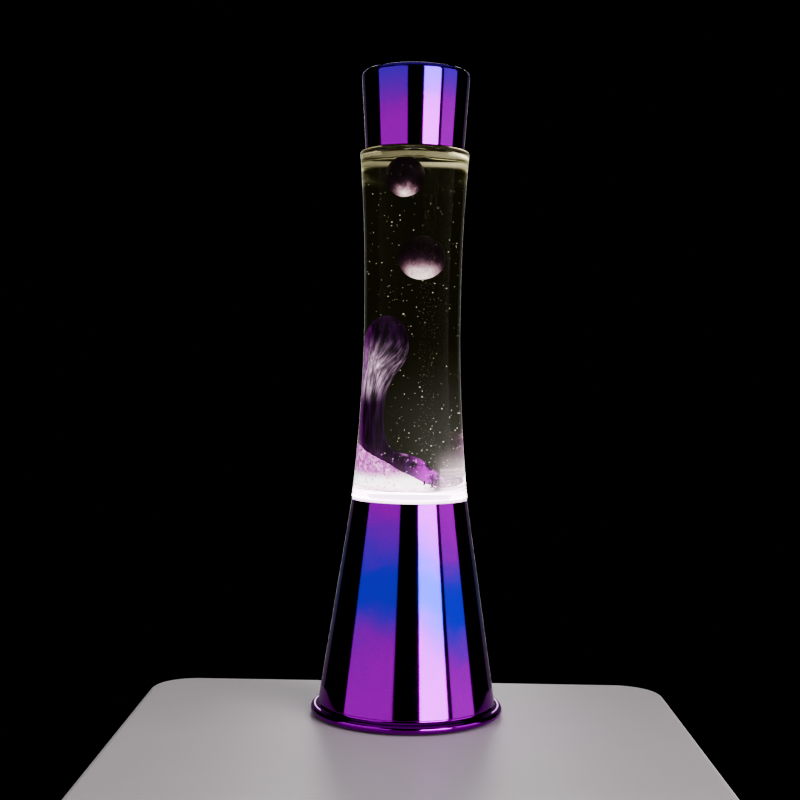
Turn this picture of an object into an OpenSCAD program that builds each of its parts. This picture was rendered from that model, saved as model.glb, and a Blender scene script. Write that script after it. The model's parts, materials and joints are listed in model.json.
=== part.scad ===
// Lava lamp: a spun metal base with its bulb, a sealed bottle of liquid and wax, and a lift-off cap.
// Millimetres, +Z up, origin at the centre of the footprint. The cord leaves towards +Y.

/* [Base] */
// Radius of the rolled flange at the foot of the base
flange_r = 59.3; // [58.5:0.1:60.5]
// Radius of the roll that the flange's edge is bent into
bead_r = 2.6; // [2.5:0.1:2.8]
// Outside radius of the cone just above the flange
cone_foot_r = 54.5; // [54:0.1:54.6]
// Outside radius of the cone at its upper rim
cone_rim_r = 35.6; // [35:0.1:36.5]
// Height of the cone's upper rim
rim_z = 132.4; // [130:0.1:132.6]
// Thickness of the spun metal
skin = 1.2; // [1:0.1:1.4]
// Thickness of the steel plate that closes the base
plate_t = 1.5; // [1.2:0.1:1.6]
// Radius of each foot pad
pad_r = 6; // [4:0.5:7]

/* [Bottle] */
// Height of the bottle's heel, where the glass shows above the base
heel_z = 132.8; // [132.7:0.1:134]
// Outside radius of the glass at the heel
heel_r = 35.8; // [35:0.1:36.5]
// Height of the bottle's waist
waist_z = 240; // [225:1:255]
// Outside radius of the glass at the waist
waist_r = 29.6; // [29.5:0.1:31]
// Height of the bottle's flat shoulder
shoulder_z = 346.3; // [346:0.1:347]
// Outside radius of the glass at the shoulder
shoulder_r = 33.7; // [32:0.1:35]
// Thickness of the glass wall
glass_t = 2.6; // [2:0.1:2.6]
// Height of the inside floor of the bottle
floor_z = 139; // [137:0.5:139]

/* [Cap] */
// Outside radius of the cap where it meets the bottle
cap_foot_r = 30.2; // [29:0.1:31]
// Outside radius of the cap near its top
cap_top_r = 33.2; // [32:0.1:36]
// Height of the top of the lamp
top_z = 395; // [393:0.5:400]
// Radius of the cap's rounded top edge
cap_round = 3.5; // [2:0.5:4]

/* [Bulb and socket] */
// Radius of the reflector bulb at its widest
bulb_r = 19.5; // [17:0.5:20]
// Height of the centre contact on the end of the bulb
bulb_tip_z = 46; // [46:0.5:47]
// Height of the widest part of the bulb
bulb_wide_z = 98; // [95:0.5:99]
// Radius of the socket's moulded body
socket_r = 14; // [12:0.5:16]
// Radius of the hole that the cord passes through in its grommet
cord_hole_r = 3.3; // [2.5:0.1:3.6]

/* [Wax] */
// Centre height of the middle blob
mid_z = 281; // [279:1:283]
// Widest radius of the middle blob
mid_r = 11.6; // [9:0.1:12]
// Centre height of the upper blob
upper_z = 330; // [329.5:0.1:330.2]
// Widest radius of the upper blob
upper_r = 9.8; // [8:0.1:10]
// Number of turns in the wire coil on the bottle's floor
coil_turns = 30; // [20:1:34]

/* [Hidden] */
$fn = 96;

gap = 0.05;             // between pieces that are fixed face to face
play = 0.3;             // between pieces that move past each other
film = 0.15;            // between the glass and what it holds
bead_z = 0.6 + bead_r;  // the flange clears the table by 0.6
fillet_r = 2.2;         // where the cone turns out into the flange
bead_x = flange_r - bead_r;
fillet_z = bead_z + bead_r + fillet_r;
ledge_z = bead_z + bead_r - skin;   // underside of the ledge that the plate screws into
ledge_r = 47;
plate_z = ledge_z - gap - plate_t;
plate_r = bead_x - 0.5;
plate_screw_r = 51;
pad_ring_r = 41;
foot_x = 28;            // bracket screws, out from the centre
deck_z = 34;            // underside of the bracket's deck
bracket_w = 18;
strap_t = 1.5;
strap_z = plate_z + plate_t + gap;
socket_z = deck_z + strap_t + gap;
socket_top = 70;
socket_floor = 44;
nipple_r = 4.9;
thread_r = 6.55;        // middle of the small lamp thread, pitch 2.82
thread_depth = 0.35;
thread_pitch = 2.82;
thread_low = 50;
thread_high = thread_low + 6 * thread_pitch;
neck_r = 13;
mouth_r = 9.5;
neck_z = 371;
ceiling_z = shoulder_z - 3.3;
liquid_z = 352;
spigot_r = 30.8;
spigot_z = 126.8;
seat_in_r = spigot_r + 0.5;
seat_z = 117;
crown_flutes = 21;
grommet_z = 22;
mid_at = [4.1, -3];
mid_h = 27.4;
mid_travel = [-18, 10];
upper_at = [-4.6, -6];
upper_h = 25;
upper_travel = [-8, 0];
coil_ring_r = 22;
coil_r = 2.5;
wire_r = 0.4;
coil_z = floor_z + coil_r + wire_r + 0.6;
pool_left = [-29, 166];     // the pool's sloping top passes through these two [x, z]
pool_right = [14, floor_z + 0.5];

column_y = -3;
head_x = -13.4;
head_z = 229;
head_r = 12.6;
head_h = 32.6;
neck_x = -19.6;
neck_low = 165;
neck_high = 216;
neck_wax_r = 7.9;
tail_low = [14.5, 152.6];   // [x, z] at the small end of the tail
tail_r = [9.2, 3.8];

// Points along an arc about [cx, cy], between two angles
function arc(cx, cy, r, from, to, steps = 10) =
    [for (i = [0:steps]) let (a = from + (to - from) * i / steps) [cx + r * cos(a), cy + r * sin(a)]];

function cone_r(z) = cone_foot_r + (cone_rim_r - cone_foot_r) * (z - fillet_z) / (rim_z - fillet_z);

function glass_r(z) = z > waist_z
    ? waist_r + (shoulder_r - waist_r) * pow((z - waist_z) / (shoulder_z - waist_z), 2.4)
    : waist_r + (heel_r - waist_r) * pow((waist_z - z) / (waist_z - heel_z), 1.75);

// Radius of the lamp thread at a height, drawn as rings so that it can turn
function thread(z) = thread_r + thread_depth * cos(360 * (z - thread_low) / thread_pitch);

function thread_line(grow) =
    [for (i = [0:36]) let (z = thread_low + i * (thread_high - thread_low) / 36) [thread(z) + grow, z]];

// Half outline of a drop of wax, from its crown down
function drop_line(r, h, grow) =
    [for (i = [0:15]) let (a = 90 - 12 * i) [(r + grow) * cos(a), (h / 2 + grow) * sin(a)]];

function bulb_line(t) = concat(
    [for (i = [0:8]) let (s = i / 8)
        [7.2 - t + (bulb_r - 7.2) * pow(sin(90 * s), 1.15), 71.5 + (bulb_wide_z - 71.5) * s]],
    [for (i = [1:9]) [(bulb_r - t) * cos(10 * i), bulb_wide_z + (13 - t) * sin(10 * i)]]);

function unit(v) = v / norm(v);

// Where a wire wound round a ring runs, at a turn of a degrees about the ring
function coil_point(a) = let (b = a * coil_turns, r = coil_ring_r + coil_r * cos(b))
    [r * cos(a), r * sin(a), coil_z + coil_r * sin(b)];

module spin(points) {
    rotate_extrude() polygon(points);
}

module ring(r_in, r_out, z, h) {
    translate([0, 0, z]) difference() {
        cylinder(r = r_out, h = h);
        translate([0, 0, -1]) cylinder(r = r_in, h = h + 2);
    }
}

module around(count, r, first = 0) {
    for (i = [0:count - 1]) rotate(first + i * 360 / count) translate([r, 0, 0]) children();
}

module pan_screw(head_r, head_h, r, length) {
    // The head's seat is at z = 0 and the shank runs down
    difference() {
        union() {
            spin(concat([[0, 0], [head_r, 0]], arc(head_r - 0.6, head_h - 0.6, 0.6, 0, 90, 4),
                        [[0, head_h]]));
            translate([0, 0, -length]) cylinder(r = r, h = length + 0.1);
        }
        for (turn = [0, 90]) rotate(turn)
            translate([-head_r * 0.55, -0.35, head_h - 0.7]) cube([head_r * 1.1, 0.7, 1]);
    }
}

module grommet_place() {
    // The bush stands square to the cone's wall at the back
    lean = atan((cone_foot_r - cone_rim_r) / (rim_z - fillet_z));
    translate([0, cone_r(grommet_z), grommet_z]) rotate([-90 + lean, 0, 0]) children();
}

module base_shell() {
    color("mediumpurple") difference() {
        union() {
            spin(concat([[cone_rim_r, rim_z], [cone_foot_r, fillet_z]],
                        arc(cone_foot_r + fillet_r, fillet_z, fillet_r, 180, 270, 8),
                        arc(bead_x, bead_z, bead_r, 90, -90, 16),
                        arc(bead_x, bead_z, bead_r - skin, -90, 90, 12),
                        arc(cone_foot_r + fillet_r, fillet_z, fillet_r + skin, 270, 180, 8),
                        [[cone_rim_r - skin, rim_z]]));
            ring(ledge_r, bead_x - 1, ledge_z, skin);
        }
        around(3, plate_screw_r, 30) translate([0, 0, ledge_z - 1]) cylinder(r = 1.6, h = skin + 2);
        grommet_place() translate([0, 0, -5]) cylinder(r = 6, h = 10);
    }
}

module base_plate() {
    color("dimgray") difference() {
        translate([0, 0, plate_z]) cylinder(r = plate_r, h = plate_t);
        translate([0, 0, plate_z - 1]) {
            around(3, plate_screw_r, 30) cylinder(r = 1.7, h = plate_t + 2);
            around(2, foot_x) cylinder(r = 1.6, h = plate_t + 2);
            around(8, 17, 22.5) cylinder(r = 3.5, h = plate_t + 2);
            cylinder(r = 5, h = plate_t + 2);
        }
    }
}

module plate_screws() {
    color("silver") around(3, plate_screw_r, 30)
        translate([0, 0, plate_z]) mirror([0, 0, 1]) pan_screw(2.8, 1.6, 1.5, 6);
}

module foot_pads() {
    color("#222222") around(3, pad_ring_r, 90)
        spin(concat([[0, 0], [pad_r - 0.8, 0]], arc(pad_r - 0.8, 0.8, 0.8, -90, 0, 4),
                    [[pad_r, plate_z - gap], [0, plate_z - gap]]));
}

module seat_ring() {
    // Moulded ring in the cone's throat that the bottle's foot drops into
    color("#303030") difference() {
        spin([[seat_in_r, seat_z], [cone_r(seat_z) - skin - 0.1, seat_z],
              [cone_r(rim_z - 1) - skin - 0.1, rim_z - 1], [seat_in_r + 0.6, rim_z - 1],
              [seat_in_r, rim_z - 1.6]]);
        around(6, cone_r(seat_z) - skin, 15) translate([0, 0, seat_z - 1]) cylinder(r = 2.2, h = 9);
    }
}

module seat_gasket() {
    color("white") spin([[seat_in_r + 0.7, rim_z - 1 + gap], [cone_rim_r - skin - 0.3, rim_z - 1 + gap],
                         [cone_rim_r - skin - 0.3, heel_z - 0.3], [seat_in_r + 0.7, heel_z - 0.3]]);
}

module cord_grommet() {
    color("#1a1a1a") grommet_place() rotate_extrude() polygon(concat(
        [[cord_hole_r, -4.4], [7.8, -4.4], [8.2, -4.0], [8.2, -2.9], [6 - gap, -2.2], [6 - gap, 0.6],
         [8.2, 0.6]],
        arc(6.8, 2.2, 1.4, 0, 90, 5), [[cord_hole_r + 0.5, 3.6], [cord_hole_r, 3.1]]));
}

module lamp_bracket() {
    // Steel strap bent into a bridge: feet on the plate, deck under the socket
    half = foot_x - 10;
    color("lightsteelblue") difference() {
        union() {
            translate([-half, -bracket_w / 2, deck_z]) cube([2 * half, bracket_w, strap_t]);
            for (side = [0, 180]) rotate(side) {
                translate([half - strap_t, -bracket_w / 2, strap_z])
                    cube([strap_t, bracket_w, deck_z + strap_t - strap_z]);
                translate([half - strap_t, -bracket_w / 2, strap_z]) cube([18, bracket_w, strap_t]);
            }
        }
        translate([0, 0, deck_z - 1]) cylinder(r = nipple_r + 0.2, h = strap_t + 2);
        around(2, foot_x) translate([0, 0, strap_z - 1]) cylinder(r = 1.6, h = strap_t + 2);
        translate([-half - 1, 0, 20]) rotate([0, 90, 0]) cylinder(r = 4.5, h = 2 * half + 2);
    }
}

module bracket_screws() {
    color("silver") around(2, foot_x)
        translate([0, 0, strap_z + strap_t + gap]) pan_screw(2.8, 1.9, 1.5, strap_t + plate_t + 0.6);
}

module lamp_socket() {
    color("ivory") difference() {
        union() {
            translate([0, 0, socket_z]) cylinder(r = socket_r, h = 8);
            spin([[0, socket_z + 7], [socket_r, socket_z + 8], [socket_r - 2, socket_z + 11],
                  [socket_r - 2.6, socket_top - 3], [socket_r - 1.4, socket_top - 2],
                  [socket_r - 1.4, socket_top], [0, socket_top]]);
            translate([0, 0, 27]) cylinder(r = nipple_r, h = socket_z - 26);
        }
        translate([0, 0, socket_floor]) cylinder(r = thread_r + thread_depth + 0.75, h = 40);
        translate([0, 0, 26]) cylinder(r = 3.2, h = socket_floor - 27);
        for (side = [-6, 6]) translate([side, -6, 40]) rotate([90, 0, 0]) cylinder(r = 1.7, h = 20);
        translate([-6, -1.5, socket_floor - 2]) cube([12, 3, 3]);
    }
}

module socket_nut() {
    color("gold") translate([0, 0, deck_z - gap - 3]) difference() {
        cylinder(r = 8, h = 3, $fn = 6);
        translate([0, 0, -1]) cylinder(r = nipple_r + 0.1, h = 5);
    }
}

module socket_screw_shell() {
    color("goldenrod") union() {
        spin(concat(thread_line(0.25), [[thread_r + thread_depth + 0.7, thread_high],
                                        [thread_r + thread_depth + 0.7, thread_low]]));
        translate([0, 0, socket_floor + gap]) difference() {
            cylinder(r = thread_r + thread_depth + 0.7, h = thread_low - socket_floor);
            translate([0, 0, -1]) cylinder(r = thread_r + thread_depth + 0.25, h = 10);
        }
    }
}

module socket_contact() {
    color("goldenrod") {
        translate([-5.5, -1.2, socket_floor - 1.9]) cube([11, 2.4, 0.6]);
        translate([0, 0, socket_floor - 1.4]) cylinder(r = 1.1, h = bulb_tip_z - socket_floor + 1.3);
    }
}

module terminal_screws() {
    color("silver") for (side = [-6, 6])
        translate([side, -10.5, 40]) rotate([90, 0, 0]) pan_screw(1.6, 1.2, 1.1, 4);
}

module bulb_glass() {
    inner = bulb_line(0.8);
    color("whitesmoke", 0.8) rotate_extrude() polygon(concat(
        [[4.8, 63], [5.6, 63], [5.6, 69.4]], bulb_line(0),
        [for (i = [len(inner) - 1:-1:0]) inner[i]], [[4.8, 69.4]]));
}

module bulb_stem() {
    color("lightblue", 0.7)
        spin([[0, 62], [4.0, 62], [3.2, 64], [1.9, 67], [1.7, 82], [2.2, 84], [0, 84.6]]);
}

module filament() {
    // Two lead wires with the coiled tungsten strung between them
    color("orange") {
        for (side = [-1, 1]) translate([side * 1, 0, 84]) rotate([0, side * 28, 0])
            translate([0, 0, 0.9]) cylinder(r = 0.3, h = 8.5, $fn = 24);
        translate([-5.4, 0, 92]) rotate([0, 90, 0]) cylinder(r = 0.55, h = 10.8, $fn = 24);
    }
}

module bulb_cap() {
    color("silver") spin(concat(
        [[5.7, thread_low - 0.4]], thread_line(0),
        [[thread_r + thread_depth, thread_high + 0.6], [thread_r + thread_depth, 68.8],
         [5.7, 68.8]]));
}

module bulb_insulator() {
    color("#151515") spin([[2.3, bulb_tip_z + 1], [3.2, bulb_tip_z + 1], [6.3, 49.4], [5.6, 49.4 + 0.15],
                           [5.6, 51.5], [2.3, 51.5]]);
}

module bulb_tip() {
    color("lightgray") spin(concat([[0, bulb_tip_z]], arc(1.4, bulb_tip_z + 0.8, 0.8, -90, 0, 4),
                                   [[2.2, bulb_tip_z + 3.5], [0, bulb_tip_z + 3.5]]));
}

// Hollow of the bottle, drawn in from the glass by an even margin
module bottle_inside(margin, up_to) {
    r = function (z) glass_r(z) - glass_t - margin;
    low = floor_z + margin;
    high = ceiling_z - margin;
    spin(concat([[0, low]], arc(r(low + 5) - 5, low + 5, 5, -90, 0, 6),
                [for (i = [1:24]) let (z = low + 5 + i * (high - 2 - low - 5) / 24) [r(z), z]],
                arc(r(high - 2) - 2, high - 2, 2, 0, 90, 4),
                [[mouth_r - margin + 1, high], [mouth_r - margin, high + 1],
                 [mouth_r - margin, up_to], [0, up_to]]));
}

module bottle() {
    color("aliceblue", 0.35) difference() {
        spin(concat([[0, spigot_z + 2], [20, spigot_z + 1.2], [26, spigot_z]],
                    arc(spigot_r - 1.5, spigot_z + 1.5, 1.5, -90, 0, 5),
                    [[spigot_r, heel_z]],
                    arc(heel_r - 1.6, heel_z + 1.6, 1.6, -90, 0, 5),
                    [for (i = [1:36]) let (z = heel_z + 1.6 + i * (shoulder_z - 2.4 - heel_z - 1.6) / 36)
                        [glass_r(z), z]],
                    arc(shoulder_r - 2.4, shoulder_z - 2.4, 2.4, 15, 90, 6),
                    [[neck_r + 2, shoulder_z]],
                    arc(neck_r + 2, shoulder_z + 2, 2, 270, 180, 4),
                    [[neck_r, 363], [neck_r - 0.8, 364.5], [neck_r + 0.3, 366]],
                    arc(neck_r - 1.2, neck_z - 1.5, 1.5, 0, 90, 4), [[0, neck_z]]));
        bottle_inside(0, neck_z + 1);
    }
}

module bottle_crown() {
    // Fluted crown cork over the mouth of the bottle
    color("silver") difference() {
        spin(concat([[neck_r + 0.7, 364.6], [neck_r + 3, 364.6], [neck_r + 1.9, 369.5]],
                    arc(neck_r - 0.2, neck_z - 0.7, 1.9, 20, 90, 4), [[0, neck_z + 1.2], [0, neck_z + 0.8]],
                    arc(neck_r - 0.4, neck_z - 0.7, 1.5, 90, 20, 4)));
        around(crown_flutes, neck_r + 3.9) translate([0, 0, 360]) cylinder(r = 1.4, h = 8.6);
    }
}

module crown_liner() {
    color("ghostwhite") translate([0, 0, neck_z + gap]) cylinder(r = neck_r - 1, h = 0.7);
}

// A block with one face on the pool's sloping top, below it or above it
module wax_slope(raise, above = false) {
    slope = atan2(pool_right[1] - pool_left[1], pool_right[0] - pool_left[0]);
    reach = above ? 260 : 100;
    translate([pool_left[0], 0, pool_left[1] + raise]) rotate([0, -slope, 0])
        translate([-160, -60, above ? 0 : -reach]) cube([320, 120, reach]);
}

// A long drop lying from the origin up +Z, with a rounded end of its own radius at each end
module long_drop(r_low, r_high, length, grow) {
    spin(concat(arc(0, 0, r_low + grow, -90, 0, 8), arc(0, length, r_high + grow, 0, 90, 8)));
}

module column_body(grow) {
    run = [tail_low[0] - neck_x, tail_low[1] - neck_low];
    translate([0, column_y, 0]) {
        drop([head_x, 0], head_z, head_r, head_h, grow);
        translate([neck_x, 0, neck_low])
            long_drop(neck_wax_r, neck_wax_r - 0.6, neck_high - neck_low, grow);
        translate([neck_x + 0.9, 0, neck_low + 0.4]) rotate([0, atan2(run[0], run[1]), 0])
            long_drop(tail_r[0], tail_r[1], norm(run), grow);
    }
}

module coil_room() {
    translate([0, 0, coil_z]) rotate_extrude() translate([coil_ring_r, 0])
        circle(r = coil_r + wire_r + 0.1);
}

// A drop's own shape, or with travel the room that it sweeps through
module drop(at, z, r, h, grow = 0, travel = [0, 0]) {
    line = drop_line(r, h, grow);
    translate([at[0], at[1], z]) spin(concat(
        [for (p = line) if (p[1] > 0.01) [max(p[0], 0), p[1] + travel[1]]],
        [[r + grow, travel[1]], [r + grow, travel[0]]],
        [for (p = line) if (p[1] < -0.01) [max(p[0], 0), p[1] + travel[0]]]));
}

module liquid() {
    color("honeydew", 0.3) difference() {
        bottle_inside(film, liquid_z);
        wax_slope(film);
        column_body(film);
        coil_room();
        drop(mid_at, mid_z, mid_r, mid_h, play + 0.7, mid_travel);
        drop(upper_at, upper_z, upper_r, upper_h, play + 0.1, upper_travel);
    }
}

module wax_pool() {
    color("plum") difference() {
        bottle_inside(film, liquid_z);
        wax_slope(0, true);
        column_body(film);
        coil_room();
    }
}

module wax_column() {
    color("purple") column_body(0);
}

module wax_blob_mid() {
    color("mediumorchid") drop(mid_at, mid_z, mid_r, mid_h);
}

module wax_blob_top() {
    color("mediumorchid") drop(upper_at, upper_z, upper_r, upper_h);
}

module wire_coil() {
    steps = coil_turns * 8;
    sides = 6;
    points = [for (i = [0:steps - 1], j = [0:sides - 1])
        let (a = 360 * i / steps, p = coil_point(a),
             along = unit(coil_point(a + 0.2) - coil_point(a - 0.2)),
             out = unit(p - [coil_ring_r * cos(a), coil_ring_r * sin(a), coil_z]),
             b = 360 * j / sides)
        p + wire_r * (cos(b) * out + sin(b) * cross(along, out))];
    color("gray") polyhedron(points, [for (i = [0:steps - 1], j = [0:sides - 1], half = [0, 1])
        let (n = (i + 1) % steps, here = i * sides + j, beyond = n * sides + (j + 1) % sides)
            half == 0 ? [here, n * sides + j, beyond] : [here, beyond, i * sides + (j + 1) % sides]]);
}

module top_cap() {
    low = shoulder_z + 0.1;
    lean = (cap_top_r - cap_foot_r) / (top_z - cap_round - low);
    inner_top = top_z - skin;
    color("mediumpurple") spin(concat(
        [[cap_foot_r - skin, low], [cap_foot_r, low]],
        arc(cap_top_r - cap_round, top_z - cap_round, cap_round, 0, 90, 8),
        [[0, top_z], [0, inner_top]],
        arc(cap_top_r - cap_round, top_z - cap_round, cap_round - skin, 90, 0, 6),
        [[cap_foot_r - skin + lean * 4, low + 4]]));
}

module cap_collar() {
    // Moulded collar bonded under the top, which centres the cap on the crown
    disc_z = top_z - skin - gap - 1.6;
    color("#303030") union() {
        ring(10, 26, disc_z, 1.6);
        ring(neck_r + 3 + play, neck_r + 4.8, 353, disc_z - 353 + 0.5);
        around(4, 0) translate([neck_r + 4.3, -0.8, 366]) cube([26 - neck_r - 5, 1.6, disc_z - 365.5]);
    }
}

base_shell();
base_plate();
plate_screws();
foot_pads();
seat_ring();
seat_gasket();
cord_grommet();
lamp_bracket();
bracket_screws();
lamp_socket();
socket_nut();
socket_screw_shell();
socket_contact();
terminal_screws();
bulb_glass();
bulb_stem();
filament();
bulb_cap();
bulb_insulator();
bulb_tip();
bottle();
bottle_crown();
crown_liner();
liquid();
wax_pool();
wax_column();
wax_blob_mid();
wax_blob_top();
wire_coil();
top_cap();
cap_collar();
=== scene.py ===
# Lava lamp: the CAD frame dressed with its plated metal, glass, liquid and wax. Everything is in metres.
import json
import math
import random

import bmesh
import bpy
from mathutils import Matrix, Vector, noise
from mathutils.bvhtree import BVHTree

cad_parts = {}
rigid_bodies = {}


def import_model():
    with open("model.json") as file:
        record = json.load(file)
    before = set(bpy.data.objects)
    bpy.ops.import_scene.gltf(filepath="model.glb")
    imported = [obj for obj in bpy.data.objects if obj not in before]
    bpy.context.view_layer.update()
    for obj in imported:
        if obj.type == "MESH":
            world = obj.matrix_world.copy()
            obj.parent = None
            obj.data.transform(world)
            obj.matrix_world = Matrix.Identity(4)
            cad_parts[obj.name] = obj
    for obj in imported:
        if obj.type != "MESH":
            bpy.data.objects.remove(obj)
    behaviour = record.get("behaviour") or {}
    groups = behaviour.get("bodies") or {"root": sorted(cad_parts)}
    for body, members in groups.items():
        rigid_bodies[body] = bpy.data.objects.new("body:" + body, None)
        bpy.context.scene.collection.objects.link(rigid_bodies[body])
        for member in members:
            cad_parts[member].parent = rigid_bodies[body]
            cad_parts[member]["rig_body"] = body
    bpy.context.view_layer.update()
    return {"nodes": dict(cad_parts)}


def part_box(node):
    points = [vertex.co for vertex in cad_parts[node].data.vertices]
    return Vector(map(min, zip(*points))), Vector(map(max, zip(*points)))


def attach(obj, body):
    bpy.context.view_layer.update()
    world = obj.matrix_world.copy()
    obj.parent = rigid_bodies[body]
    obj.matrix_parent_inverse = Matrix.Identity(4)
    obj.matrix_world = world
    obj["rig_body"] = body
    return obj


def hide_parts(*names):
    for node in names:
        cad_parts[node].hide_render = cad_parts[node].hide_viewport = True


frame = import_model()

nodes = frame["nodes"]
mm = 0.001
print("frame loaded with", len(nodes), "nodes")


class Value:
    # one output of a shader node; arithmetic on it adds Math nodes
    def __init__(self, finish, socket):
        self.finish = finish
        self.socket = socket

    def math(self, operation, *values):
        return self.finish.node("ShaderNodeMath", {"operation": operation}, dict(enumerate(values)))

    def __add__(self, other):
        return self.math("ADD", self, other)

    def __radd__(self, other):
        return self.math("ADD", other, self)

    def __sub__(self, other):
        return self.math("SUBTRACT", self, other)

    def __rsub__(self, other):
        return self.math("SUBTRACT", other, self)

    def __mul__(self, other):
        return self.math("MULTIPLY", self, other)

    def __rmul__(self, other):
        return self.math("MULTIPLY", other, self)

    def __pow__(self, other):
        return self.math("POWER", self, other)

    def __abs__(self):
        return self.math("ABSOLUTE", self)

    def sine(self):
        return self.math("SINE", self)

    def atMost(self, other):
        return self.math("MINIMUM", self, other)

    def fade(self, low, high):
        # 0 below low, 1 above high, smooth between; low may be the larger
        return self.finish.node("ShaderNodeMapRange", {"interpolation_type": "SMOOTHSTEP"},
                                {"Value": self, "From Min": low, "From Max": high})


class Finish:
    # a material and the nodes that its look is wired from
    def __init__(self, name):
        self.material = bpy.data.materials.new(name)
        self.material.use_nodes = True
        self.tree = self.material.node_tree
        self.tree.nodes.clear()
        self.output = self.tree.nodes.new("ShaderNodeOutputMaterial")
        self.place = self.node("ShaderNodeTexCoord", out="Object")
        split = [self.node("ShaderNodeSeparateXYZ", {}, {0: self.place}, axis) for axis in "XYZ"]
        self.x, self.y, self.z = split

    def node(self, kind, settings=None, sockets=None, out=0):
        made = self.tree.nodes.new(kind)
        for name, setting in (settings or {}).items():
            if name == "stops":
                self.setStops(made.color_ramp, setting)
            else:
                setattr(made, name, setting)
        for name, value in (sockets or {}).items():
            if isinstance(value, Value):
                self.tree.links.new(value.socket, made.inputs[name])
            else:
                made.inputs[name].default_value = value
        return Value(self, made.outputs[out])

    def setStops(self, ramp, stops):
        while len(ramp.elements) < len(stops):
            ramp.elements.new(0.5)
        for element, (place, colour) in zip(ramp.elements, stops):
            element.position = place
            element.color = colour

    def mix(self, factor, first, second, blend="MIX"):
        return self.node("ShaderNodeMix", {"data_type": "RGBA", "blend_type": blend},
                         {0: factor, 6: first, 7: second}, 2)

    def ramp(self, value, stops):
        return self.node("ShaderNodeValToRGB", {"stops": stops}, {0: value})

    def stretched(self, x, y, z):
        settings = {"operation": "MULTIPLY"}
        return self.node("ShaderNodeVectorMath", settings, {0: self.place, 1: (x, y, z)})

    def cloud(self, scale, detail=3.0, rough=0.5, twist=0.0, place=None):
        return self.node("ShaderNodeTexNoise", {}, {"Vector": place or self.place, "Scale": scale,
                         "Detail": detail, "Roughness": rough, "Distortion": twist})

    def bump(self, height, depth, strength=1.0):
        return self.node("ShaderNodeBump", {}, {"Height": height, "Distance": depth, "Strength": strength})

    def facing(self, axis):
        # how far the surface turns towards an axis of the frame
        normal = self.node("ShaderNodeNewGeometry", out="Normal")
        settings = {"operation": "DOT_PRODUCT"}
        return self.node("ShaderNodeVectorMath", settings, {0: normal, 1: axis}, "Value")

    def surface(self, **sockets):
        # sockets are named as on the shader, with their spaces left out
        shader = self.tree.nodes.new("ShaderNodeBsdfPrincipled")
        for socket in shader.inputs:
            value = sockets.pop(socket.name.replace(" ", ""), None)
            if isinstance(value, Value):
                self.tree.links.new(value.socket, socket)
            elif value is not None:
                socket.default_value = value
        assert not sockets, sockets
        self.tree.links.new(shader.outputs[0], self.output.inputs[0])
        return self.material


def tint(red, green, blue, alpha=1.0):
    # a colour as picked on a screen, 0 to 255, as the linear one that shaders take
    linear = []
    for c in (red, green, blue):
        linear.append(c / 255 / 12.92 if c <= 10 else ((c / 255 + 0.055) / 1.055) ** 2.4)
    return (*linear, alpha)


def darker(colour, share):
    return tuple(c * share for c in colour[:3]) + (1.0,)


plating = {"magenta": tint(158, 0, 180), "purple": tint(116, 0, 172), "blue": tint(8, 44, 200),
           "dust": tint(230, 190, 245), "gloss": 0.07, "cloudiness": 2.1, "wispiness": 0.55}


def platedMetal(name, bluePeak, blueReach, blueShare):
    # mirror plating whose colour drifts from magenta to blue and back in soft clouds up the wall
    f = Finish(name)
    drift = f.cloud(9, 2, 0.4, 0.8) - 0.5
    wisp = f.cloud(34, 3, 0.5, 0.6, f.stretched(1, 1, 1.6)) - 0.5
    rise = (f.z - bluePeak) * (1 / blueReach)
    away = abs(rise + drift * plating["cloudiness"] + wisp * plating["wispiness"])
    purpleness = (0.75 - away * 0.5).fade(0.0, 0.7) * 0.7
    blueness = (1 - away).fade(0.0, 0.9) * blueShare
    colour = f.mix(purpleness, plating["magenta"], plating["purple"])
    colour = f.mix(blueness, colour, plating["blue"])
    dust = f.cloud(1900, 1, 0.5).fade(0.70, 0.80)
    colour = f.mix(dust * 0.2, colour, plating["dust"])
    smear = f.cloud(60, 4, 0.6, 0.2, f.stretched(1, 1, 0.35))
    ripple = f.cloud(30, 2, 0.5)
    return f.surface(BaseColor=colour, Metallic=1.0, Roughness=plating["gloss"] + smear * 0.05 + dust * 0.2,
                     CoatWeight=0.2, CoatRoughness=0.03, Normal=f.bump(ripple, 0.00016, 0.5))


def sheetMetal(name, colour, scale, gloss):
    # rolled and plated sheet: faint grain, blotches and dull edges
    f = Finish(name)
    grain = f.cloud(900 * scale, 2, 0.6, 0.0, f.stretched(1, 0.06, 1))
    blotch = f.cloud(55 * scale, 4, 0.6)
    shade = f.mix(blotch.fade(0.3, 0.7) * 0.5, colour, darker(colour, 0.72))
    return f.surface(BaseColor=shade, Metallic=1.0, Roughness=gloss + grain * 0.16 + blotch * 0.08,
                     Normal=f.bump(grain, 0.00003, 0.6))


def moulding(name, colour, grainSize, gloss, depth=0.00004):
    # moulded plastic or rubber with a fine spark grain
    f = Finish(name)
    grain = f.cloud(1 / grainSize, 2, 0.6)
    wear = f.cloud(90, 4, 0.6)
    light = tuple(min(1.0, c * 1.9 + 0.01) for c in colour[:3]) + (1.0,)
    shade = f.mix(wear.fade(0.45, 0.8) * 0.5, colour, light)
    return f.surface(BaseColor=shade, Roughness=gloss + wear * 0.15, Normal=f.bump(grain, depth, 0.7))


print("finishes ready")


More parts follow.
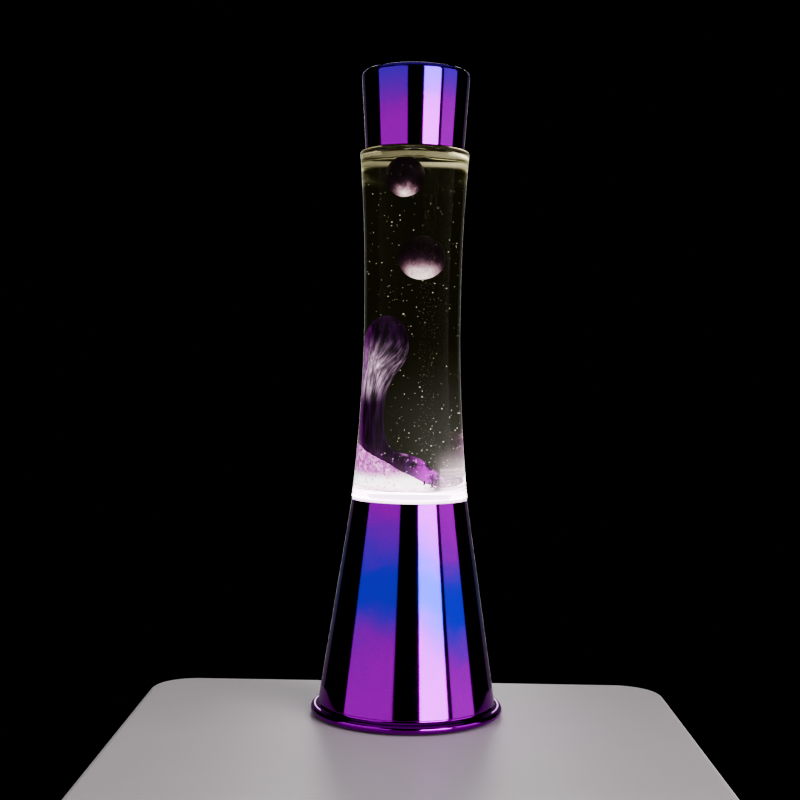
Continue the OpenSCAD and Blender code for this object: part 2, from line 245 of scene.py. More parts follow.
def sectionOf(node):
    # the half section of a turned node as (radius, height) points, from its axis round to its axis again
    shape = bmesh.new()
    shape.from_mesh(nodes[node].data)
    bmesh.ops.remove_doubles(shape, verts=shape.verts, dist=1e-6)
    rings = [(math.hypot(v.co.x, v.co.y), v.co.z) for v in shape.verts]
    cut = bmesh.ops.bisect_plane(shape, geom=shape.verts[:] + shape.edges[:] + shape.faces[:],
                                 plane_co=(0, 0, 0), plane_no=(0.02, 1, 0))
    pairs = []
    for edge in cut["geom_cut"]:
        if isinstance(edge, bmesh.types.BMEdge):
            p, q = sorted((v.co for v in edge.verts), key=lambda co: co.x)
            if q.x > 1e-6:
                start = p.lerp(q, -p.x / (q.x - p.x)) if p.x < 0 else p
                pairs.append([(round(max(0.0, v.x), 6), round(v.z, 6)) for v in (start, q)])
    shape.free()
    neighbours = {}
    for p, q in pairs:
        if p != q:
            neighbours.setdefault(p, []).append(q)
            neighbours.setdefault(q, []).append(p)
    here = min((p for p in neighbours if p[0] < 1e-5), key=lambda p: p[1])
    walk = [here]
    while True:
        onward = [p for p in neighbours[here] if p not in walk[-2:]]
        if not onward:
            return snapped(walk, rings)
        here = onward[0]
        walk.append(here)


def snapped(walk, rings):
    # each point moved out to the ring of vertices that it crosses; points on no ring drop out
    rings = sorted({(round(r, 6), round(z, 6)) for r, z in rings if r > 1e-5})
    out = [(0.0, walk[0][1])]
    for point in walk[1:-1]:
        ring = min(rings, key=lambda ring: math.dist(ring, point))
        if math.dist(ring, point) < 0.12 * mm and math.dist(ring, out[-1]) > 0.05 * mm:
            out.append(ring)
    return out + [(0.0, walk[-1][1])]


def curve(a, b, c, d, t):
    # a point at a share of the way from b to c, on a smooth curve through all four
    return [0.5 * (2 * q + (r - p) * t + (2 * p - 5 * q + 4 * r - u) * t * t
                   + (3 * q - p - 3 * r + u) * t ** 3) for p, q, r, u in zip(a, b, c, d)]


def smoothSection(walk, steps, sharpest):
    # finer points along a section wherever it doesn't turn a corner
    def turn(i):
        if i in (0, len(walk) - 1):
            return math.pi
        (ax, az), (bx, bz), (cx, cz) = walk[i - 1:i + 2]
        bend = math.atan2(cz - bz, cx - bx) - math.atan2(bz - az, bx - ax)
        return abs((bend + math.pi) % (2 * math.pi) - math.pi)

    out = []
    for i in range(len(walk) - 1):
        out.append(walk[i])
        if max(turn(i), turn(i + 1)) < sharpest:
            out += [curve(*walk[i - 1:i + 3], s / steps) for s in range(1, steps)]
    return out + [walk[-1]]


# points added between two of the section's own, the sharpest bend that is smoothed, faces all around
fineness = {"between": 3, "sharpest": math.radians(14), "around": 144, "liquidAround": 192}
glassSection = smoothSection(sectionOf("bottle"), fineness["between"], fineness["sharpest"])
bottleMesh = nodes["bottle"].data
bottleTree = BVHTree.FromPolygons([v.co for v in bottleMesh.vertices],
                                  [tuple(p.vertices) for p in bottleMesh.polygons])
bottleFloor = bottleTree.ray_cast(Vector((0.001, 0.001, 0.2)), Vector((0, 0, -1)))[0].z
bottleCeiling = bottleTree.ray_cast(Vector((0.02, 0.001, 0.3)), Vector((0, 0, 1)))[0].z
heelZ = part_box("base_shell")[1].z


def wallAt(z):
    # radius of the bottle's inner wall at a height
    upward = glassSection[::-1]
    for (r0, z0), (r1, z1) in zip(upward, upward[1:]):
        if z0 <= z <= z1 and z1 > z0 and max(r0, r1) > 0.008:
            return r0 + (r1 - r0) * (z - z0) / (z1 - z0)
    raise ValueError(z)


def put(name, data):
    # a new object in the scene
    piece = bpy.data.objects.new(name, data)
    bpy.context.scene.collection.objects.link(piece)
    return piece


def pieceFrom(name, shape):
    # an object with the mesh of an edited shape, which is used up
    mesh = bpy.data.meshes.new(name)
    shape.to_mesh(mesh)
    shape.free()
    return put(name, mesh)


def meshOf(name, vertices, faces):
    mesh = bpy.data.meshes.new(name)
    mesh.from_pydata([tuple(v) for v in vertices], [], faces)
    mesh.update()
    return mesh


def dress(piece, material, body):
    piece.data.materials.clear()
    piece.data.materials.append(material)
    piece.data.polygons.foreach_set("use_smooth", [True] * len(piece.data.polygons))
    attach(piece, body)


def turned(profile, steps):
    # vertices and faces of a closed turned shape; profile runs up the outside from axis to axis
    vertices = [Vector((0, 0, profile[0][1])), Vector((0, 0, profile[-1][1]))]
    rings = profile[1:-1]
    for r, z in rings:
        for i in range(steps):
            a = 2 * math.pi * i / steps
            vertices.append(Vector((r * math.cos(a), r * math.sin(a), z)))
    faces = []
    last = len(rings) - 1
    for i in range(steps):
        j = (i + 1) % steps
        faces.append((0, 2 + j, 2 + i))
        faces.append((1, 2 + last * steps + i, 2 + last * steps + j))
        for k in range(last):
            low, high = 2 + k * steps, 2 + (k + 1) * steps
            faces.append((low + i, low + j, high + j, high + i))
    return vertices, faces


def ballShape(balls, detail):
    shape = bmesh.new()
    for centre, radius in balls:
        place = Matrix.Translation(centre)
        bmesh.ops.create_icosphere(shape, subdivisions=detail, radius=radius, matrix=place)
    return shape


def skinOver(piece, voxel, smoothing):
    # one closed and smoothed skin over a piece becomes its mesh, as molten wax has
    remesh = piece.modifiers.new("voxels", "REMESH")
    remesh.mode = "VOXEL"
    remesh.voxel_size = voxel
    relax = piece.modifiers.new("relax", "SMOOTH")
    relax.factor = 0.5
    relax.iterations = smoothing
    bpy.context.view_layer.update()
    evaluated = piece.evaluated_get(bpy.context.evaluated_depsgraph_get())
    mesh = bpy.data.meshes.new_from_object(evaluated)
    piece.modifiers.clear()
    piece.data = mesh


def between(low, high, share):
    return low + (high - low) * share


def smoothRun(stations, steps):
    # a smooth run through given stations
    run = []
    for i in range(len(stations) - 1):
        four = [stations[min(max(k, 0), len(stations) - 1)] for k in (i - 1, i, i + 1, i + 2)]
        run += [curve(*four, s / steps) for s in range(steps)]
    return run + [list(stations[-1])]


def keepInside(piece, margin):
    # presses a piece flat where it would pass through the glass
    for v in piece.data.vertices:
        z = min(max(v.co.z, bottleFloor + 0.3 * mm), bottleCeiling - 0.3 * mm)
        reach = wallAt(z) - margin
        r = math.hypot(v.co.x, v.co.y)
        if r > reach:
            v.co.x *= reach / r
            v.co.y *= reach / r
        v.co.z = min(max(v.co.z, bottleFloor + margin), bottleCeiling - margin)
    piece.data.update()


shellLow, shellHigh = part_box("base_shell")
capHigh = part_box("top_cap")[1]
# height of the bluest place, how far the blue reaches from it, and how strong it is
baseFinish = platedMetal("baseFinish", between(shellLow.z, shellHigh.z, 0.565), 0.040, 0.90)
capFinish = platedMetal("capFinish", capHigh.z + 0.006, 0.026, 0.58)


def give(node, material):
    materials = nodes[node].data.materials
    materials.clear()
    materials.append(material)


give("base_shell", baseFinish)
give("top_cap", capFinish)
print("outside metal done")

# the works inside the base, the bulb and the closures
zincSheet = sheetMetal("zincSheet", tint(150, 152, 156), 1.0, 0.30)
screwSteel = sheetMetal("screwSteel", tint(176, 176, 178), 2.0, 0.22)
stampedBrass = sheetMetal("stampedBrass", tint(205, 165, 88), 2.0, 0.24)
rolledNickel = sheetMetal("rolledNickel", tint(196, 190, 176), 2.0, 0.26)
tinplate = sheetMetal("tinplate", tint(188, 188, 190), 1.5, 0.28)
drawnWire = sheetMetal("drawnWire", tint(120, 116, 122), 3.0, 0.30)
padRubber = moulding("padRubber", tint(28, 28, 29), 0.0006, 0.72)
blackMoulding = moulding("blackMoulding", tint(30, 30, 33), 0.0009, 0.45)
softSilicone = moulding("softSilicone", tint(205, 208, 212), 0.0015, 0.35)
softLiner = moulding("softLiner", tint(222, 220, 214), 0.0012, 0.55)


def glazedCeramic():
    f = Finish("glazedCeramic")
    fleck = f.cloud(700, 2, 0.6).fade(0.62, 0.75)
    pool = f.cloud(80, 3, 0.5)
    shade = f.mix(pool, tint(232, 224, 204), tint(216, 205, 182))
    shade = f.mix(fleck * 0.4, shade, tint(168, 150, 124))
    return f.surface(BaseColor=shade, Roughness=0.18 + pool * 0.12, CoatWeight=0.6, CoatRoughness=0.06,
                     Normal=f.bump(pool, 0.0001, 0.4))


def hotTungsten():
    f = Finish("hotTungsten")
    coil = (f.x * 14000).sine()
    glow = f.mix(coil.fade(-0.6, 0.8), tint(255, 120, 30), tint(255, 214, 150))
    return f.surface(BaseColor=tint(120, 110, 100), Metallic=1.0, Roughness=0.5, EmissionColor=glow,
                     EmissionStrength=6.0, Normal=f.bump(coil, 0.0001))


def silveredBulb():
    # clear front over a mirror-lined reflector: the lining ends just above the widest part
    low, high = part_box("bulb_glass")
    edge = between(low.z, high.z, 0.76)
    f = Finish("silveredBulb")
    grain = f.cloud(500, 3, 0.6)
    lined = (f.z + (grain - 0.5) * 0.0006).fade(edge + 0.0004, edge - 0.0004)
    glow = f.mix(f.z.fade(edge, high.z), tint(90, 60, 40), tint(255, 225, 190))
    glass = f.node("ShaderNodeBsdfPrincipled", {}, {
        "Base Color": tint(250, 250, 250), "Roughness": 0.05, "Transmission Weight": 0.9, "IOR": 1.47,
        "Emission Color": glow, "Emission Strength": 0.8, "Normal": f.bump(grain, 0.00004, 0.5)})
    silver = f.node("ShaderNodeBsdfPrincipled", {}, {
        "Base Color": tint(222, 222, 226), "Metallic": 1.0, "Roughness": 0.10 + grain * 0.1,
        "Normal": f.bump(grain, 0.00004, 0.5)})
    mixed = f.node("ShaderNodeMixShader", {}, {0: lined, 1: glass, 2: silver})
    f.tree.links.new(mixed.socket, f.output.inputs[0])
    return f.material


def stemGlass():
    f = Finish("stemGlass")
    seed = f.cloud(900, 2, 0.5)
    return f.surface(BaseColor=tint(236, 244, 242), Roughness=0.05 + seed * 0.05, TransmissionWeight=0.9,
                     IOR=1.5, Normal=f.bump(seed, 0.00004, 0.5))


for node, material in {
        "base_plate": zincSheet, "lamp_bracket": zincSheet, "plate_screws": screwSteel,
        "bracket_screws": screwSteel, "terminal_screws": screwSteel, "foot_pads": padRubber,
        "cord_grommet": padRubber, "seat_ring": blackMoulding, "cap_collar": blackMoulding,
        "bulb_insulator": blackMoulding, "seat_gasket": softSilicone, "lamp_socket": glazedCeramic(),
        "socket_nut": stampedBrass, "socket_screw_shell": stampedBrass, "socket_contact": stampedBrass,
        "bulb_glass": silveredBulb(), "bulb_stem": stemGlass(), "filament": hotTungsten(),
        "bulb_cap": rolledNickel, "bulb_tip": rolledNickel, "bottle_crown": tinplate,
        "crown_liner": softLiner, "wire_coil": drawnWire}.items():
    give(node, material)
print("hidden works done")

glassLook = {"tint": tint(246, 250, 248), "shine": tint(40, 40, 40), "heelGlow": tint(255, 236, 252),
             "heelBelt": tint(172, 78, 182), "heelShade": tint(150, 124, 144), "heelStrength": 1.4}


def clearGlass():
    # clear soda glass; the lamp below makes its thick foot glow
    f = Finish("clearGlass")
    smear = f.cloud(45, 4, 0.6, 0.3, f.stretched(1, 1, 0.3))
    foot = f.z.fade(bottleFloor + 0.0010, heelZ - 0.001)
    belt = f.z.fade(heelZ + 0.0022, heelZ + 0.0034) * f.z.fade(heelZ + 0.0062, heelZ + 0.0044)
    warm = f.mix(belt * smear.fade(0.2, 0.5), glassLook["heelGlow"], glassLook["heelBelt"])
    warm = f.mix(f.x.fade(0.012, 0.026) * 0.8, warm, glassLook["heelShade"])
    glow = f.mix(foot, tint(0, 0, 0), warm)
    return f.surface(BaseColor=glassLook["tint"], Roughness=0.012 + smear.fade(0.5, 0.8) * 0.02,
                     TransmissionWeight=1.0, IOR=1.46, SpecularTint=glassLook["shine"], EmissionColor=glow,
                     EmissionStrength=glassLook["heelStrength"], Normal=f.bump(smear, 0.00004, 0.2))


def blowBottle():
    # the CAD bottle turned again in finer steps, so that its contents show through it without facets
    vertices, faces = turned(glassSection, fineness["around"])
    piece = put("bottle_glass", meshOf("bottle_glass", vertices, faces))
    dress(piece, clearGlass(), "bottle")
    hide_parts("bottle")


blowBottle()

# the glow colours here are painted light: the lamp's light in the liquid, painted into its emission
liquidLook = {"veil": tint(26, 24, 12), "darkVeil": tint(16, 14, 8), "lowVeil": tint(192, 172, 182),
              "corner": tint(226, 196, 214), "haze": tint(70, 68, 64), "hazeTop": 0.235, "brightTop": 0.168,
              "ceiling": tint(255, 238, 206), "overlap": 0.3 * mm, "ringSpacing": 1.6 * mm, "glow": 1.0}


def lampLiquid():
    # clear liquid lit by painted light in its emission: a faint painted glow from the lamp below, brighter
    # low down and to the right, and a painted bright ring where it meets the bottle's ceiling
    f = Finish("lampLiquid")
    swirl = f.cloud(30, 3, 0.5, 0.5)
    radius = (f.x * f.x + f.y * f.y) ** 0.5
    # painted light: the liquid glows greyer low down and towards its right side
    haze = f.z.fade(liquidLook["hazeTop"], bottleFloor) * (f.x + swirl * 0.03).fade(-0.015, 0.036)
    # painted light: a bright pinkish glow low down at the right
    bright = f.z.fade(liquidLook["brightTop"], bottleFloor + 0.006)
    bright = bright * (f.x + swirl * 0.008).fade(0.015, 0.027)
    # painted glow through the whole liquid, a little darker in swirls
    veil = f.mix(swirl.fade(0.3, 0.8) * 0.5, liquidLook["veil"], liquidLook["darkVeil"])
    veil = f.mix(haze, veil, liquidLook["haze"])
    veil = f.mix(bright, veil, liquidLook["lowVeil"])
    # painted light: a bright corner low at the right, in fine horizontal bands
    corner = f.z.fade(bottleFloor + 0.0150, bottleFloor + 0.0138) * f.x.fade(0.0172, 0.0180)
    line = (f.z * 2900).sine().fade(-0.2, 0.9)
    veil = f.mix(corner * (0.4 + line * 0.4), veil, liquidLook["corner"])
    # painted light: a bright cream ring at the bottle's ceiling, strongest on the far side and to the right
    rim = f.z.fade(bottleCeiling - 0.0035, bottleCeiling - 0.0005) * radius.fade(0.022, 0.029)
    rim = rim * (f.y + f.x * 0.4).fade(-0.018, 0.002) * (0.2 + swirl * 0.8)
    rim = rim * (0.45 + f.x.fade(-0.02, 0.022) * 0.75)
    veil = f.mix(rim, veil, liquidLook["ceiling"])
    return f.surface(BaseColor=tint(240, 242, 226), Roughness=0.0, TransmissionWeight=1.0, IOR=1.345,
                     SpecularTint=glassLook["shine"], EmissionColor=veil,
                     EmissionStrength=liquidLook["glow"])


def pourLiquid():
    # the liquid reaches a little into the glass, so that no film of air shows between them
    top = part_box("liquid")[1].z
    step = liquidLook["ringSpacing"]
    heights = [bottleFloor + q * mm for q in (0.05, 0.3, 0.8, 1.5, 2.4, 3.5)]
    while heights[-1] + step < bottleCeiling - 3 * mm:
        heights.append(heights[-1] + step)
    heights += [bottleCeiling - q * mm for q in (2.2, 1.5, 0.9, 0.4, 0.05)]
    overlap = liquidLook["overlap"]
    profile = [(0, bottleFloor - overlap)]
    profile += [(wallAt(heights[0]), bottleFloor - overlap)]
    profile += [(wallAt(z) + overlap, z) for z in heights]
    profile += [(wallAt(heights[-1]), bottleCeiling + overlap)]
    neck = wallAt(bottleCeiling + 4 * mm) + overlap
    profile += [(neck + 1.2 * mm, bottleCeiling + overlap), (neck, bottleCeiling + 1.6 * mm)]
    profile += [(neck, top), (0, top)]
    vertices, faces = turned(profile, fineness["liquidAround"])
    piece = put("lamp_liquid", meshOf("lamp_liquid", vertices, faces))
    dress(piece, lampLiquid(), "bottle")
    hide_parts("liquid")


pourLiquid()
print("bottle and liquid done")

# the colours that feed the wax's emission are painted lamp light; dark and purple are the wax's own colour
waxLook = {"dark": tint(30, 8, 34), "purple": tint(92, 22, 112), "streak": tint(236, 200, 232),
           "violet": tint(190, 44, 200), "pale": tint(232, 168, 226), "pink": tint(160, 74, 160),
           "white": tint(255, 246, 255), "bubble": tint(96, 30, 104), "shaft": tint(17, 4, 22),
           "thread": tint(60, 18, 72), "edge": tint(140, 34, 150), "spark": tint(250, 225, 250),
           "lip": tint(214, 130, 212), "poolGlow": 1.6, "glow": 1.5, "dropGlow": 1.1,
           "lampSide": (0.0, -0.45, -0.893),
           "drop": [(0.0, tint(20, 7, 22)), (0.3, tint(58, 32, 52)), (0.6, tint(124, 94, 108)),
                    (0.84, tint(186, 152, 168)), (1.0, tint(250, 228, 232))]}


def dropWax(name, low, high, reach):
    # a free drop: its underside catches the lamp, its top stays dark
    f = Finish(name)
    crawl = f.cloud(260, 4, 0.6, 0.6, f.stretched(1, 1, 0.5))
    grain = f.cloud(1700, 2, 0.5)
    height = (f.z - low) * (1 / (high - low))
    under = f.facing(waxLook["lampSide"]) + (crawl - 0.5) * 0.42 + (grain - 0.5) * 0.22
    under = under.fade(reach, 1.06) * height.fade(0.78, 0.22)
    glow = f.ramp(under, waxLook["drop"])
    shade = f.mix(crawl.fade(0.35, 0.7) * 0.4, waxLook["dark"], waxLook["purple"])
    return f.surface(BaseColor=shade, Roughness=0.3 + crawl * 0.15, EmissionColor=glow,
                     EmissionStrength=waxLook["dropGlow"], Normal=f.bump(crawl, 0.0004, 0.35))


def flowingWax():
    # the rising column, glowing with painted light: dark head, drawn-out strands at its throat painted
    # pale, dark shaft, painted violet glow on the tail
    low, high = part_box("wax_column")
    tall = high.z - low.z
    f = Finish("flowingWax")
    bend = f.cloud(45, 2, 0.5) - 0.5
    spread = 1 - f.z.fade(low.z + 0.48 * tall, low.z + 0.86 * tall) * 0.5
    lean = f.z.fade(low.z + 0.45 * tall, low.z + 1.0 * tall)
    across = (f.x - low.x) * spread - lean * 0.006 + bend * 0.005
    along = f.node("ShaderNodeCombineXYZ", {}, {0: across, 1: f.y * 0.5, 2: f.z * 0.07})
    strand = f.cloud(560, 4, 0.62, 0.35, along)
    fine = f.cloud(1700, 3, 0.6, 0.2, along)
    throat = f.z.fade(low.z + 0.90 * tall, low.z + 0.62 * tall)
    throat = throat * f.z.fade(low.z + 0.42 * tall, low.z + 0.58 * tall)
    lines = (strand * 0.75 + fine * 0.45).fade(0.48, 0.88)
    # painted light: the throat's strands brighten where they face the lower left front
    side = f.facing((-0.62, -0.3, -0.72)).fade(-0.2, 0.8)
    # painted glow down the column's left edge
    edge = f.facing((-1, -0.1, 0)).fade(0.80, 1.0)
    # painted violet glow on the tail, over its lumps, stronger towards its right end
    tail = f.z.fade(low.z + 0.22 * tall, low.z + 0.10 * tall) * f.x.fade(-0.003, 0.011)
    # painted highlight along the tail's top edge
    lip = f.z.fade(low.z + 0.22 * tall, low.z + 0.16 * tall) * f.facing((-0.2, -0.3, 0.93)).fade(0.82, 0.98)
    shade = f.mix(strand.fade(0.4, 0.7) * 0.5, waxLook["dark"], waxLook["purple"])
    glow = f.mix(lines, waxLook["shaft"], waxLook["thread"])
    glow = f.mix(throat * (lines + side * 0.15).atMost(1.0) * (side * 0.6 + 0.4), glow, waxLook["streak"])
    glow = f.mix(edge * 0.4, glow, waxLook["edge"])
    # painted glints on the tail
    spark = f.cloud(900, 2, 0.5).fade(0.70, 0.76)
    lumps = f.cloud(95, 3, 0.6)
    glow = f.mix(tail * lumps.fade(0.40, 0.58), glow, waxLook["violet"])
    glow = f.mix(tail * spark, glow, waxLook["spark"])
    glow = f.mix(lip * 0.85, glow, waxLook["lip"])
    return f.surface(BaseColor=shade, Roughness=0.28 + strand * 0.2, EmissionColor=glow,
                     EmissionStrength=waxLook["glow"], Normal=f.bump(strand, 0.0005, 0.5))


def paleWax():
    # molten wax over the lamp, glowing with painted lamp light: white just above the floor, pink towards
    # its frothy top
    low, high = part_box("wax_pool")
    f = Finish("paleWax")
    froth = f.cloud(300, 5, 0.75, 0.6)
    cloudy = f.cloud(60, 2, 0.5)
    bead = f.node("ShaderNodeTexVoronoi", {}, {"Vector": f.place, "Scale": 420.0}, 0)
    dots = bead.fade(0.30, 0.18) * cloudy.fade(0.42, 0.54)
    height = f.z + (froth - 0.5) * 0.005 + (cloudy - 0.5) * 0.006
    # painted lamp glow: white low down, turning pink higher up, broken by the froth
    up = height.fade(low.z + 0.006, low.z + 0.013)
    glow = f.mix(up, waxLook["white"], waxLook["pink"])
    glow = f.mix(froth.fade(0.46, 0.62) * (0.2 + up * 0.75), glow, waxLook["pale"])
    # painted pink glow in the froth at the pool's very foot
    foot = f.z.fade(low.z + 0.0035, low.z + 0.0008)
    glow = f.mix(foot * froth.fade(0.3, 0.6) * 0.8, glow, waxLook["pink"])
    glow = f.mix(dots * 0.8, glow, waxLook["bubble"])
    return f.surface(BaseColor=tint(240, 200, 236), Roughness=0.35, EmissionColor=glow,
                     EmissionStrength=waxLook["poolGlow"], Normal=f.bump(froth, 0.0006, 0.5))


# reach is how far up the glow climbs, dent how uneven the drop is
drops = {"wax_drop_mid": {"node": "wax_blob_mid", "reach": -0.05, "dent": 0.03, "seed": 3.1},
         "wax_drop_top": {"node": "wax_blob_top", "reach": 0.42, "dent": 0.03, "seed": 8.4}}


def makeDrop(name, node, reach, dent, seed):
    # a drop of wax, a little flattened and uneven, filling its CAD drop
    low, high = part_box(node)
    centre, half = (low + high) / 2, (high - low) / 2
    shape = bmesh.new()
    bmesh.ops.create_icosphere(shape, subdivisions=5, radius=1.0)
    for v in shape.verts:
        n = v.co.normalized()
        swell = 1 + dent * (noise.noise(n * 1.3 + Vector((seed, 0, 0))) - 0.3)
        swell += 0.012 * noise.noise(n * 4 + Vector((0, seed, 0)))
        v.co = centre + Vector((n.x * half.x, n.y * half.y, n.z * half.z)) * min(swell, 1.0)
    piece = pieceFrom(name, shape)
    dress(piece, dropWax(name + "Finish", low.z, high.z, reach), nodes[node]["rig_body"])
    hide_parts(node)


# stations run down the column from its crown: shares across and up the CAD column's box, radius in mm
columnShape = {
    "stations": [(0.335, 0.955, 4.4), (0.330, 0.905, 9.0), (0.315, 0.84, 11.6), (0.300, 0.77, 12.0),
                 (0.265, 0.70, 10.6), (0.215, 0.62, 9.2), (0.170, 0.52, 8.3), (0.155, 0.42, 7.8),
                 (0.160, 0.30, 7.8), (0.195, 0.19, 7.6), (0.30, 0.115, 6.0), (0.45, 0.075, 5.2),
                 (0.60, 0.040, 6.2), (0.76, -0.025, 5.6), (0.91, -0.075, 3.8)],
    "voxel": 0.9 * mm, "smoothing": 10, "ripple": 0.5 * mm, "lumps": 2.4}


def makeColumn():
    low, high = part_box("wax_column")
    middle = (low.y + high.y) / 2
    balls = []
    for across, up, radius in smoothRun(columnShape["stations"], 5):
        centre = Vector((between(low.x, high.x, across), middle, between(low.z, high.z, up)))
        balls.append((centre, radius * mm))
    piece = pieceFrom("wax_column_skin", ballShape(balls, 3))
    skinOver(piece, columnShape["voxel"], columnShape["smoothing"])
    for v in piece.data.vertices:
        c = v.co
        flow = noise.noise(Vector((c.x * 330, c.y * 330, c.z * 60)))
        lumps = noise.noise(c * 170) if c.z < between(low.z, high.z, 0.14) else 0.0
        out = Vector((c.x - between(low.x, high.x, 0.2), c.y - middle, 0)).normalized()
        c += out * columnShape["ripple"] * (flow + columnShape["lumps"] * lumps)
    keepInside(piece, 0.25 * mm)
    dress(piece, flowingWax(), "bottle")
    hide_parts("wax_column")


poolShape = {"voxel": 1.0 * mm, "smoothing": 6, "mounds": 2.0 * mm, "froth": 0.8 * mm, "around": 96}


def makePool():
    # the turned inside of the bottle's foot, cut to the pool's slope and heaved into soft mounds
    low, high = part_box("wax_pool")
    heights = [bottleFloor + q * mm for q in (0.3, 0.8, 1.6, 2.8, 4.4)]
    while heights[-1] < high.z + 8 * mm:
        heights.append(heights[-1] + 1.5 * mm)
    profile = [(0, heights[0])] + [(wallAt(z) - 0.2 * mm, z) for z in heights] + [(0, heights[-1])]
    whole = meshOf("whole_pool", *turned(profile, poolShape["around"]))
    shape = bmesh.new()
    shape.from_mesh(whole)
    bpy.data.meshes.remove(whole)
    left = Vector((low.x, 0, high.z))
    right = Vector((high.x, 0, bottleFloor))
    down = (right - left).normalized()
    cut = bmesh.ops.bisect_plane(shape, geom=shape.verts[:] + shape.edges[:] + shape.faces[:],
                                 plane_co=left, plane_no=(-down.z, 0, down.x), clear_outer=True)
    rim = [g for g in cut["geom_cut"] if isinstance(g, bmesh.types.BMEdge)]
    bmesh.ops.edgenet_fill(shape, edges=rim)
    piece = pieceFrom("wax_pool_body", shape)
    skinOver(piece, poolShape["voxel"], poolShape["smoothing"])
    for v in piece.data.vertices:
        lift = min(1.0, max(0.0, v.co.z - bottleFloor - 2 * mm) / (6 * mm))
        heave = poolShape["mounds"] * noise.noise(v.co * 75) + poolShape["froth"] * noise.noise(v.co * 240)
        v.co.z += lift * heave
    keepInside(piece, 0.25 * mm)
    dress(piece, paleWax(), "bottle")
    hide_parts("wax_pool")


for name, drop in drops.items():
    makeDrop(name, **drop)
makeColumn()
makePool()
print("wax done")

# sizes are radii in mm
speckField = {"count": 420, "smallest": 0.10, "largest": 0.24, "seed": 11, "glow": 2.6,
              "bubbles": 80, "smallestBubble": 0.18, "largestBubble": 0.55}


def speckFinish():
    f = Finish("speckFinish")
    # the specks glow with painted lamp light, some brighter than others at random
    tone = f.cloud(300, 1, 0.5)
    glow = f.mix(tone, tint(150, 146, 140), tint(255, 250, 246))
    return f.surface(BaseColor=tint(235, 232, 228), Roughness=0.4, EmissionColor=glow,
                     EmissionStrength=speckField["glow"])


def bubbleFinish():
    f = Finish("bubbleFinish")
    # painted glints: pale patches on the dark bubbles, which also glow faintly with painted light
    tone = f.cloud(200, 2, 0.5)
    shade = f.mix(tone.fade(0.4, 0.6), tint(96, 34, 104), tint(236, 196, 236))
    return f.surface(BaseColor=shade, Roughness=0.12, EmissionColor=shade, EmissionStrength=0.35)


def makeSpecks():
    # specks all through the liquid, more of them low down, and bubbles where the pool meets the glass
    dice = random.Random(speckField["seed"])
    keepOut = []
    for node, drift in (("wax_blob_mid", 20 * mm), ("wax_blob_top", 10 * mm), ("wax_column", 0)):
        low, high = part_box(node)
        keepOut.append((low - Vector((0, 0, drift)), high + Vector((0, 0, drift / 2))))
    spots = []
    while len(spots) < speckField["count"]:
        share = dice.random() ** 1.5
        z = between(bottleFloor + 8 * mm, bottleCeiling - 8 * mm, share)
        r = (wallAt(z) - 3 * mm) * math.sqrt(dice.random())
        a = dice.uniform(0, 2 * math.pi)
        p = Vector((r * math.cos(a), r * math.sin(a), z))
        size = between(speckField["smallest"], speckField["largest"], dice.random() ** 2.6) * mm
        if not any(all(lo[i] - size < p[i] < hi[i] + size for i in range(3)) for lo, hi in keepOut):
            spots.append((p, size))
    dress(pieceFrom("liquid_specks", ballShape(spots, 1)), speckFinish(), "bottle")
    low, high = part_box("wax_pool")
    spots = []
    while len(spots) < speckField["bubbles"]:
        a = dice.uniform(math.radians(150), math.radians(300))
        z = between(low.z + 10 * mm, high.z - 4 * mm, dice.random())
        size = dice.uniform(speckField["smallestBubble"], speckField["largestBubble"]) * mm
        r = wallAt(z) - size - 0.04 * mm
        spots.append((Vector((r * math.cos(a), r * math.sin(a), z)), size))
    dress(pieceFrom("wax_bubbles", ballShape(spots, 2)), bubbleFinish(), "bottle")


makeSpecks()
print("specks and bubbles done")

# each panel: azimuths of its two edges, and its power; azimuth 0 is where the viewer stands, and it
# grows to the viewer's right
studio = {"floorLow": (-0.17, -0.24), "floorHigh": (0.17, 0.085), "floorRound": 0.03, "floorThick": 0.04,
          "world": 0.003, "panelDistance": 1.6, "panelLow": -0.5, "panelHigh": 1.1,
          "panels": {"panel_left": (-85, -17, 8.0), "panel_right": (17, 54, 25),
                     "panel_side": (60, 96, 5.4), "panel_back": (171, 189, 5.0),
                     "panel_back_right": (140, 168, 0.5), "panel_back_left": (192, 220, 0.5)},
          "topPower": 4.0, "topSize": 2.0, "topHeight": 1.5}


def paleFloor():
    f = Finish("paleFloor")
    mottle = f.cloud(9, 3, 0.5)
    shade = f.mix(mottle, tint(226, 219, 220), tint(216, 209, 211))
    return f.surface(BaseColor=shade, Roughness=0.42 + mottle * 0.1)


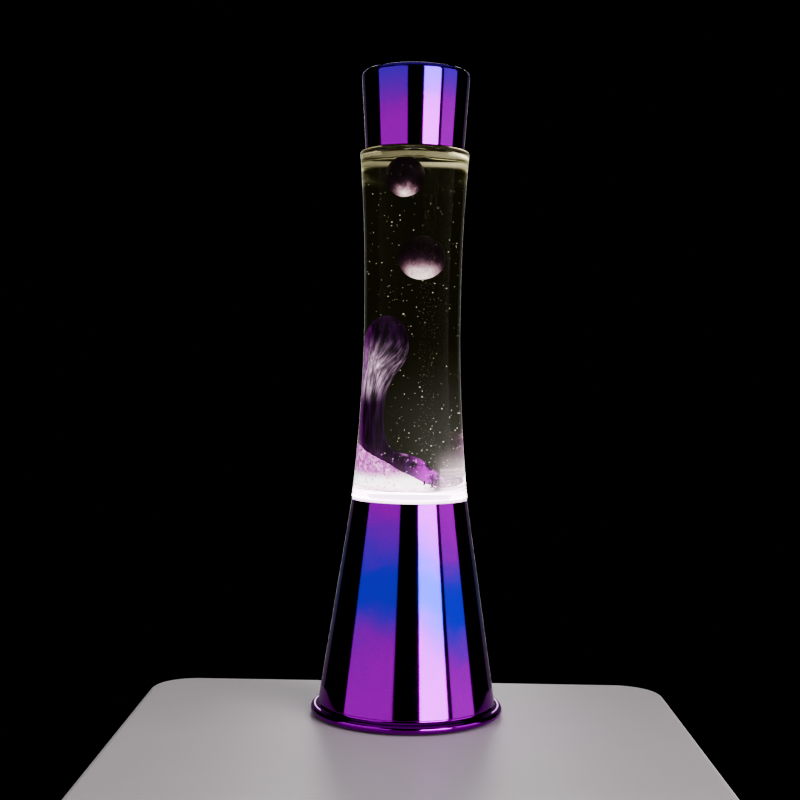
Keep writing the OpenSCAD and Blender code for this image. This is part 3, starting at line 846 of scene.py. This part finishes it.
def layFloor():
    # a pale slab with rounded corners and edges, its top at the lamp's feet
    bend = studio["floorRound"]
    left, front = (q + bend for q in studio["floorLow"])
    right, back = (q - bend for q in studio["floorHigh"])
    shape = bmesh.new()
    outline = []
    for x, y, start in ((right, back, 0), (left, back, 90), (left, front, 180), (right, front, 270)):
        for i in range(13):
            a = math.radians(start + 7.5 * i)
            outline.append(shape.verts.new((x + bend * math.cos(a), y + bend * math.sin(a), -0.0002)))
    top = shape.faces.new(outline)
    bmesh.ops.recalc_face_normals(shape, faces=[top])
    deep = bmesh.ops.extrude_face_region(shape, geom=[top])["geom"]
    lower = [g for g in deep if isinstance(g, bmesh.types.BMVert)]
    bmesh.ops.translate(shape, verts=lower, vec=(0, 0, -studio["floorThick"]))
    bmesh.ops.recalc_face_normals(shape, faces=shape.faces[:])
    floor = pieceFrom("floor", shape)
    edge = floor.modifiers.new("edge", "BEVEL")
    edge.width = 0.004
    edge.segments = 4
    edge.limit_method = "ANGLE"
    floor.data.materials.append(paleFloor())


def standPanel(name, wide, tall, power, place, turn):
    # a panel of light that isn't seen itself, neither straight nor through the glass
    lamp = bpy.data.lights.new(name, "AREA")
    lamp.shape = "RECTANGLE"
    lamp.size = wide
    lamp.size_y = tall
    lamp.energy = power
    stand = put(name, lamp)
    stand.location = place
    stand.rotation_euler = turn
    stand.visible_transmission = False
    stand.visible_camera = False


def setLights():
    low, high = studio["panelLow"], studio["panelHigh"]
    for name, (start, end, power) in studio["panels"].items():
        middle = math.radians(start + end) / 2
        half = math.radians(end - start) / 2
        wide = 2 * studio["panelDistance"] * math.sin(half)
        reach = studio["panelDistance"] * math.cos(half)
        place = (reach * math.sin(middle), -reach * math.cos(middle), (low + high) / 2)
        standPanel(name, wide, high - low, power, place, (math.radians(90), 0, middle))
    size = studio["topSize"]
    standPanel("panel_top", size, size, studio["topPower"], (0, 0, studio["topHeight"]), (0, 0, 0))
    world = bpy.data.worlds.new("darkStudio")
    world.use_nodes = True
    world.node_tree.nodes["Background"].inputs[0].default_value = (studio["world"],) * 3 + (1.0,)
    bpy.context.scene.world = world


# metres, degrees, and the focal length in mm
cameraSet = {"distance": 0.8477, "height": 0.2147, "tiltDown": 1.43, "roll": 0.90, "aimLeft": 0.46,
             "focal": 61.71}


def setCamera():
    data = bpy.data.cameras.new("camera")
    data.lens = cameraSet["focal"]
    data.sensor_width = 36
    data.clip_start = 0.01
    camera = put("camera", data)
    place = Matrix.Translation((0, -cameraSet["distance"], cameraSet["height"]))
    aim = Matrix.Rotation(math.radians(cameraSet["aimLeft"]), 4, "Z")
    tilt = Matrix.Rotation(math.radians(90 - cameraSet["tiltDown"]), 4, "X")
    roll = Matrix.Rotation(math.radians(cameraSet["roll"]), 4, "Z")
    camera.matrix_world = place @ aim @ tilt @ roll
    bpy.context.scene.camera = camera


layFloor()
setLights()
setCamera()
bpy.context.scene.view_settings.view_transform = "AgX"
bpy.context.scene.view_settings.look = "AgX - Very High Contrast"
print("studio done")
